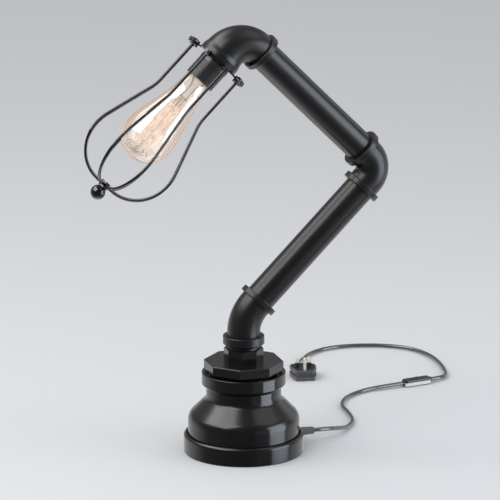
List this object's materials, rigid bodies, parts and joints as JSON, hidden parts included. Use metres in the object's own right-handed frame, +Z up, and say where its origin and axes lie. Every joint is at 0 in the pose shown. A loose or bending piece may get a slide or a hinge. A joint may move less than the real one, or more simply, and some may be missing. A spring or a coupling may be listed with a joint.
{
  "type": "table lamp",
  "caption": "Table lamp made of pipe fittings: bell base, two pipes on turning elbows, caged bulb, and a lead with a rocker switch and a plug.",
  "frame": {"origin": "centre of the base's underside, on the surface the lamp stands on", "axes": "+Z up; the arms lie in the XZ plane, the lower pipe leans towards +X and the head looks towards -X"},
  "size_m": [0.5725, 0.4602, 0.5431],
  "materials": {
    "black_iron": "semi-gloss black enamel over cast and drawn iron",
    "cage_steel": "dark burnished steel wire",
    "zinc_steel": "zinc plated",
    "cast_ballast": "raw casting",
    "felt": "black felt",
    "grey_rubber": "matt grey rubber",
    "cord_sheath": "glossy dark round flex",
    "inner_flex": "round flex",
    "holder_black": "black moulded phenolic",
    "porcelain": "glazed ceramic",
    "brass": "plain brass",
    "bulb_glass": "clear glass with a light amber tint",
    "stem_glass": "clear glass",
    "filament": "fine warm wire",
    "switch_pale": "pale silver-grey moulding",
    "switch_black": "black moulding",
    "plug_grey": "dark grey moulding",
    "pin_brass": "pale brass",
    "sleeve_black": "black insulation"
  },
  "bodies": {
    "base": {"base_pad": "felt", "base_casting": "black_iron", "base_plate": "zinc_steel", "plate_screws": "zinc_steel", "ballast_weight": "cast_ballast", "ballast_bolts": "zinc_steel", "base_bush": "black_iron", "swivel_bush": "black_iron", "strain_relief": "grey_rubber", "gland_nut": "zinc_steel", "base_flex": "inner_flex", "lead_to_switch": "cord_sheath", "lead_to_plug": "cord_sheath", "switch_base": "switch_pale", "switch_cover": "switch_black", "switch_collars": "switch_black", "switch_terminals": "brass", "switch_screws": "zinc_steel", "plug_back": "plug_grey", "plug_face": "plug_grey", "earth_pin": "pin_brass", "live_pin": "pin_brass", "neutral_pin": "pin_brass", "pin_sleeves": "sleeve_black", "plug_screw": "zinc_steel", "plug_fuse": "porcelain", "plug_cord_guard": "grey_rubber"},
    "rocker": {"switch_rocker": "switch_black"},
    "lower_arm": {"lower_elbow": "black_iron", "lower_pipe": "black_iron", "lower_arm_flex": "inner_flex"},
    "upper_arm": {"middle_elbow": "black_iron", "upper_pipe": "black_iron", "upper_arm_flex": "inner_flex"},
    "head": {"top_elbow": "black_iron", "head_flex": "inner_flex", "holder_adapter": "black_iron", "holder_nipple": "zinc_steel", "nipple_nut": "zinc_steel", "lampholder_shell": "holder_black", "lampholder_core": "porcelain", "thread_liner": "brass", "centre_contact": "brass", "bulb_cap": "brass", "bulb_glass": "bulb_glass", "bulb_stem": "stem_glass", "bulb_filament": "filament", "cage_ring": "cage_steel", "cage_studs": "zinc_steel", "cage_nuts": "zinc_steel", "cage_hub": "cage_steel", "cage_ball": "cage_steel", "cage_wire_0": "cage_steel", "cage_wire_1": "cage_steel", "cage_wire_2": "cage_steel", "cage_wire_3": "cage_steel", "cage_wire_4": "cage_steel", "cage_wire_5": "cage_steel", "cage_wire_6": "cage_steel", "cage_wire_7": "cage_steel"}
  },
  "joints": [
    {"name": "arm_swivel", "type": "hinge", "parent": "base", "child": "lower_arm", "pos_m": [0, 0, 0.1732], "axis": [0, 0, 1], "range_deg": [-150, 150]},
    {"name": "upper_arm_twist", "type": "hinge", "parent": "lower_arm", "child": "upper_arm", "pos_m": [0.1784, 0, 0.3516], "axis": [0.7071, 0, 0.7071], "range_deg": [-90, 90]},
    {"name": "head_twist", "type": "hinge", "parent": "upper_arm", "child": "head", "pos_m": [-0.00255, 0, 0.53255], "axis": [-0.7071, 0, 0.7071], "range_deg": [-150, 150]},
    {"name": "rocker_tip", "type": "hinge", "parent": "base", "child": "rocker", "pos_m": [0.30054, 0.19203, 0.0069], "axis": [-0.1564, 0.9877, 0], "range_deg": [0, 14]}
  ]
}
